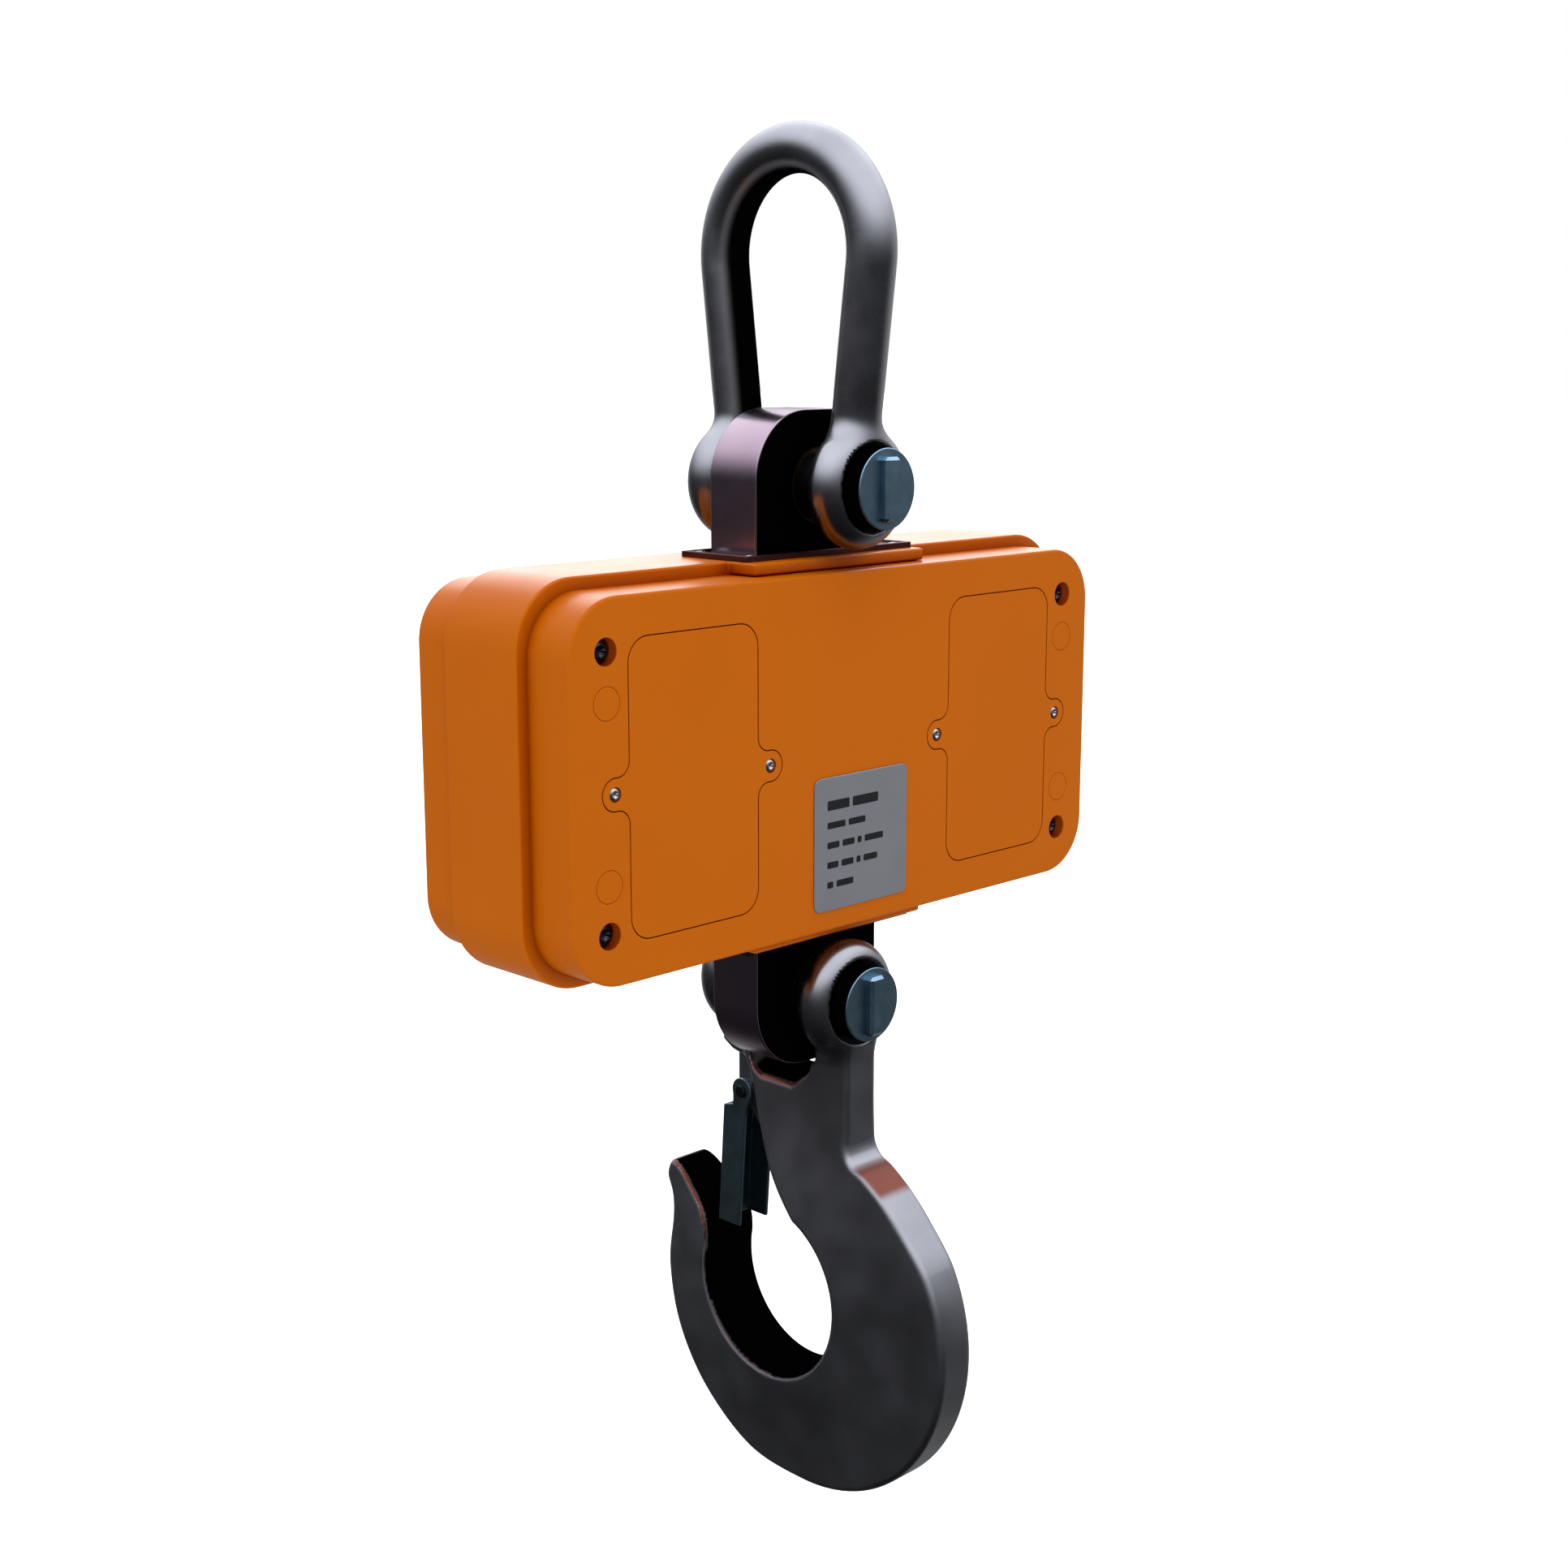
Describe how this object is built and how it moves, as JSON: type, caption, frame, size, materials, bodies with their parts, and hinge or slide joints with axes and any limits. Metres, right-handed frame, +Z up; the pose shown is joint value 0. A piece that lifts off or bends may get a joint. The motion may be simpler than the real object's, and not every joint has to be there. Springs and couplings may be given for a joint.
{
  "type": "hanging crane scale with shackle and hook",
  "caption": "Hanging crane scale with a shackle above, a cast housing with display and keys round a flat load cell, and a clevis hook with a sprung latch below.",
  "frame": {"origin": "inside crown of the shackle bow, where the crane's hook bears, midway across the bar", "axes": "+Z up, X along the housing's length, the display faces -Y and the battery lids face +Y"},
  "size_m": [0.265, 0.1405, 0.4903],
  "materials": {
    "orange_paint": "satin powder coat",
    "forged_steel": "dark satin forging",
    "pin_steel": "satin blue-grey",
    "dark_steel": "black oxide",
    "bright_steel": "zinc plated",
    "cell_steel": "ground, dark bronze-violet tint",
    "bronze": "machined",
    "black_plate": "dark anodised",
    "black_rubber": "matt",
    "label_plate": "satin anodised",
    "battery_wrap": "gloss",
    "contact_brass": "bright",
    "smoked_window": "smoked red, gloss",
    "circuit_board": "solder mask",
    "digit_black": "matt",
    "cable_jacket": "satin",
    "key_red": "satin",
    "key_grey": "satin",
    "latch_sheet": "dark teal-black satin"
  },
  "bodies": {
    "shackle": {"shackle": "forged_steel", "shackle_pin": "pin_steel", "shackle_spacers": "dark_steel", "shackle_pin_washer": "bright_steel", "shackle_pin_nut": "bright_steel", "shackle_split_pin": "bright_steel"},
    "scale_body": {"load_cell": "cell_steel", "upper_bush": "bronze", "lower_bush": "bronze", "gauge_covers": "bright_steel", "upper_bracket": "bright_steel", "lower_bracket": "bright_steel", "bracket_bolts": "bright_steel", "main_housing": "orange_paint", "top_seal_plate": "black_plate", "bottom_seal_plate": "black_plate", "top_seal": "black_rubber", "bottom_seal": "black_rubber", "seal_plate_screws": "bright_steel", "back_cover": "orange_paint", "back_gasket": "black_rubber", "back_cover_screws": "dark_steel", "cover_plugs": "orange_paint", "rating_label": "label_plate", "battery_lid_left": "orange_paint", "battery_lid_right": "orange_paint", "battery_lid_gaskets": "black_rubber", "battery_lid_screws": "bright_steel", "battery_left": "battery_wrap", "battery_right": "battery_wrap", "battery_contacts": "contact_brass", "front_cover": "orange_paint", "front_gasket": "black_rubber", "front_cover_screws": "dark_steel", "display_window": "smoked_window", "display_board": "circuit_board", "digit_modules": "digit_black", "main_board": "circuit_board", "board_spacers": "bright_steel", "board_screws": "bright_steel", "key_switches": "digit_black", "load_cell_cable": "cable_jacket", "battery_cables": "cable_jacket"},
    "power_key": {"power_key": "key_red"},
    "tare_key": {"tare_key": "key_grey"},
    "hold_key": {"hold_key": "key_grey"},
    "unit_key": {"unit_key": "key_grey"},
    "hook": {"hook": "forged_steel", "hook_pin": "pin_steel", "hook_spacers": "dark_steel", "hook_pin_washer": "bright_steel", "hook_pin_nut": "bright_steel", "hook_split_pin": "bright_steel", "latch_pin": "dark_steel"},
    "latch": {"latch": "latch_sheet", "latch_spring": "bright_steel"}
  },
  "joints": [
    {"name": "scale_swing", "type": "hinge", "parent": "shackle", "child": "scale_body", "pos_m": [0, 0, -0.104], "axis": [0, 1, 0], "range_deg": [-90, 90]},
    {"name": "hook_swing", "type": "hinge", "parent": "scale_body", "child": "hook", "pos_m": [0, 0, -0.284], "axis": [0, 1, 0], "range_deg": [-90, 90]},
    {"name": "latch_open", "type": "hinge", "parent": "hook", "child": "latch", "pos_m": [0, -0.0204, -0.3285], "axis": [1, 0, 0], "range_deg": [0, 26], "stiffness_Nm_per_rad": 0.1, "springref_deg": -34.38},
    {"name": "power_key_press", "type": "slide", "parent": "scale_body", "child": "power_key", "axis": [0, 1, 0], "range_m": [0, 0.001], "stiffness_N_per_m": 300, "springref_m": -0.001},
    {"name": "tare_key_press", "type": "slide", "parent": "scale_body", "child": "tare_key", "axis": [0, 1, 0], "range_m": [0, 0.001], "stiffness_N_per_m": 300, "springref_m": -0.001},
    {"name": "hold_key_press", "type": "slide", "parent": "scale_body", "child": "hold_key", "axis": [0, 1, 0], "range_m": [0, 0.001], "stiffness_N_per_m": 300, "springref_m": -0.001},
    {"name": "unit_key_press", "type": "slide", "parent": "scale_body", "child": "unit_key", "axis": [0, 1, 0], "range_m": [0, 0.001], "stiffness_N_per_m": 300, "springref_m": -0.001}
  ]
}
